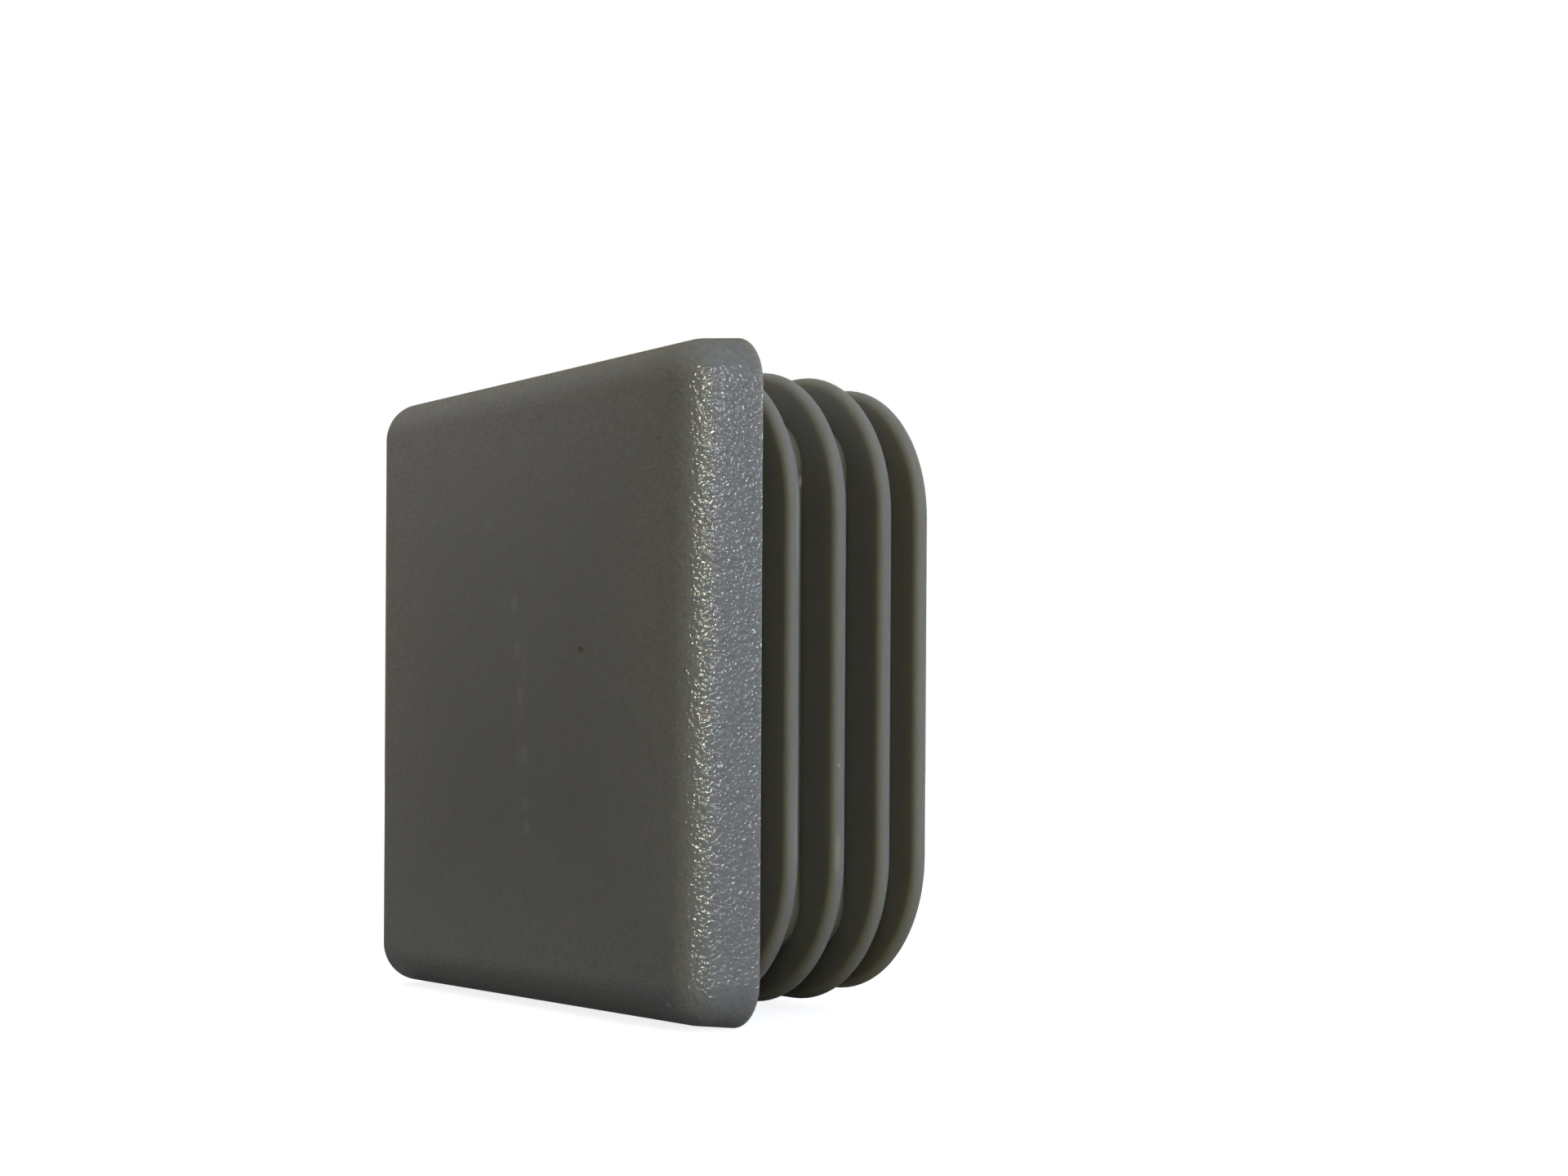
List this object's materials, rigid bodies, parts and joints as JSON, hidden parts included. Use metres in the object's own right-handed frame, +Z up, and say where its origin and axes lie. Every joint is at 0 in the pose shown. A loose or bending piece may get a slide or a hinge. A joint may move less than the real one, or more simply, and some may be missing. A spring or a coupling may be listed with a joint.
{
  "type": "tube end cap",
  "caption": "Square push-in end cap for a steel tube: a flat head with rounded edges and a hollow core with gripping lamellae.",
  "frame": {"origin": "centre of the plane where the tube's end seats against the back of the head, on the cap's axis", "axes": "+X along the cap's axis, from the head into the tube; -Y the side of the head that faces the viewer in the picture; +Z up as pictured"},
  "size_m": [0.0186, 0.04, 0.04],
  "materials": {
    "grey_plastic": "moulded grey polyethylene, fine eroded grain on the head, smooth on the lamellae"
  },
  "bodies": {
    "root": {"end_cap": "grey_plastic"}
  },
  "joints": []
}
